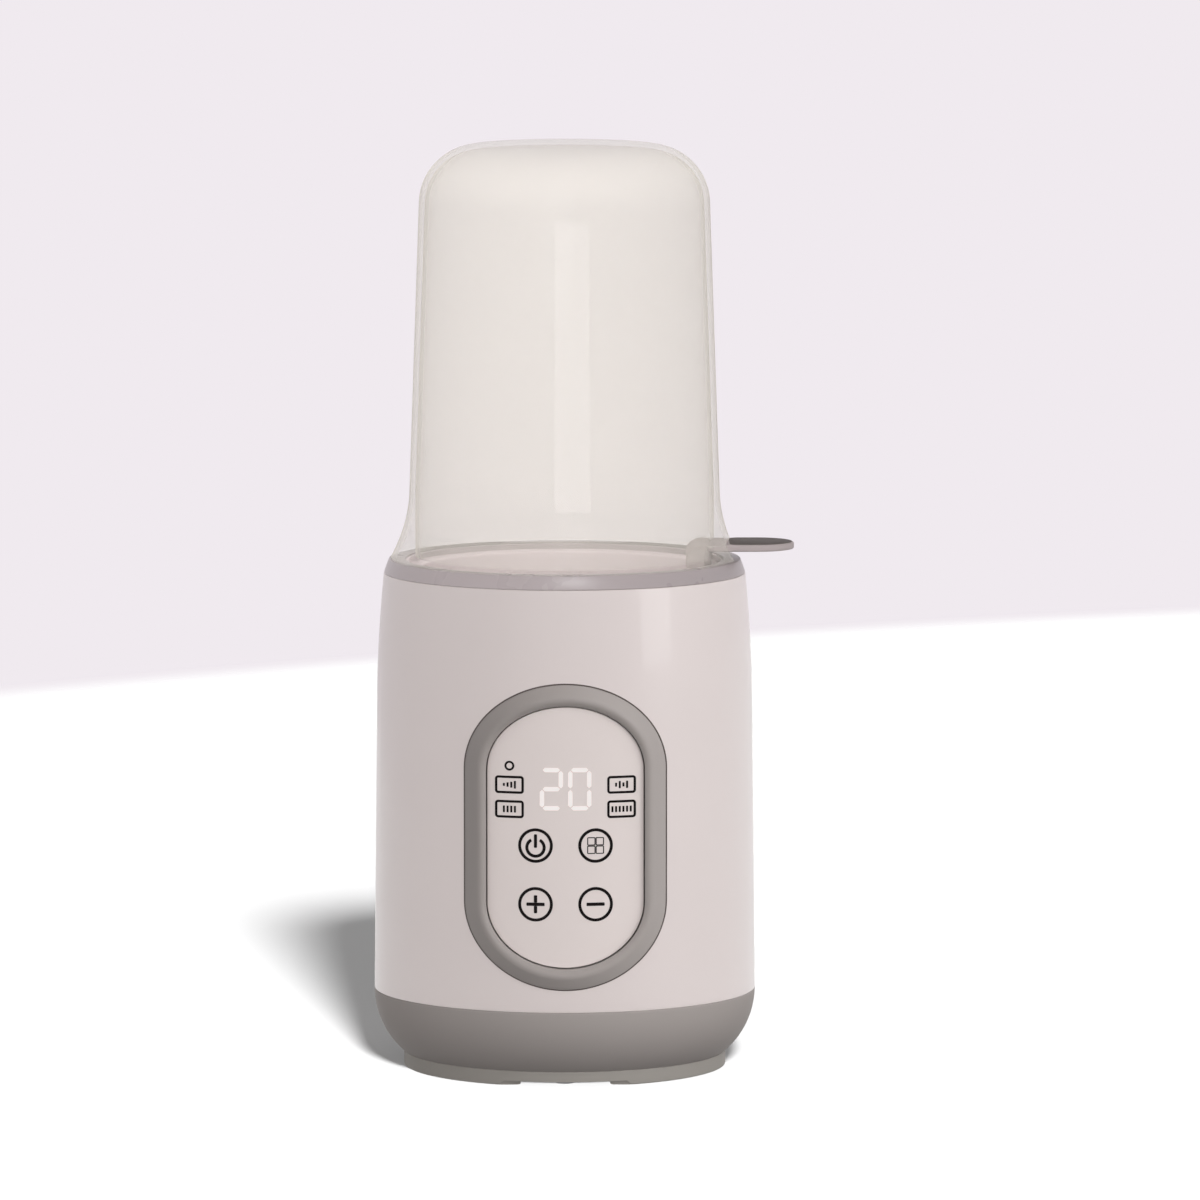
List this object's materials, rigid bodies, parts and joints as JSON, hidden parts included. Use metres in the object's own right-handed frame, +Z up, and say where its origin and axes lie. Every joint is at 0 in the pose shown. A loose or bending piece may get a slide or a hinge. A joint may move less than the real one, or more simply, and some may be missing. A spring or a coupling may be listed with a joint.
{
  "type": "bottle warmer sterilizer",
  "caption": "Tall round bottle warmer: a heated water well with a touch panel on its barrel, a lift-out basket with a side tab, and a milky clear domed cover with a flared skirt.",
  "frame": {"origin": "on the body's axis, in the plane of the rubber ring that the object stands on", "axes": "+Z up along the body's axis, -Y towards the control panel's front, +X towards the basket's tab"},
  "size_m": [0.1277, 0.1205, 0.281],
  "materials": {
    "clear_plastic": "milky clear, polished",
    "dark_grey_plastic": "satin",
    "rim_grey_plastic": "satin",
    "pearl_plastic": "semi-gloss",
    "panel_plastic": "satin",
    "bezel_grey_plastic": "satin",
    "base_grey_plastic": "satin",
    "foot_grey_plastic": "matte",
    "stainless_steel": "brushed",
    "zinc_steel": "zinc plated",
    "red_silicone": "matte",
    "black_rubber": "matte",
    "black_plastic": "matte",
    "white_plastic": "matte",
    "yellow_plastic": "matte",
    "blue_plastic": "matte",
    "green_plastic": "matte",
    "circuit_board": "lacquered"
  },
  "bodies": {
    "warmer": {"rim_ring": "rim_grey_plastic", "body_shell": "pearl_plastic", "water_tank": "pearl_plastic", "heater_seal": "red_silicone", "heating_plate": "stainless_steel", "heating_element": "stainless_steel", "heater_clamp": "zinc_steel", "heater_screws": "zinc_steel", "thermistor": "stainless_steel", "thermal_cutout": "black_plastic", "control_panel": "panel_plastic", "panel_bezel": "bezel_grey_plastic", "control_board": "circuit_board", "digit_display": "white_plastic", "indicator_leds": "white_plastic", "touch_pads": "black_rubber", "control_board_screws": "zinc_steel", "power_board": "circuit_board", "power_transformer": "yellow_plastic", "relay": "blue_plastic", "capacitor": "black_plastic", "terminal_block": "green_plastic", "buzzer": "black_plastic", "power_board_screws": "zinc_steel", "ribbon_cable": "white_plastic", "heater_leads": "red_silicone", "sensor_leads": "white_plastic", "cord_gland": "black_rubber", "base_shell": "base_grey_plastic", "base_cover": "foot_grey_plastic", "non_slip_ring": "black_rubber", "base_screws": "zinc_steel"},
    "basket": {"lift_basket": "dark_grey_plastic"},
    "cover": {"dome_cover": "clear_plastic"}
  },
  "joints": [
    {"name": "basket_lift", "type": "slide", "parent": "warmer", "child": "basket", "axis": [0, 0, 1], "range_m": [0, 0.1]},
    {"name": "cover_lift", "type": "slide", "parent": "basket", "child": "cover", "axis": [0, 0, 1], "range_m": [0, 0.15]}
  ]
}
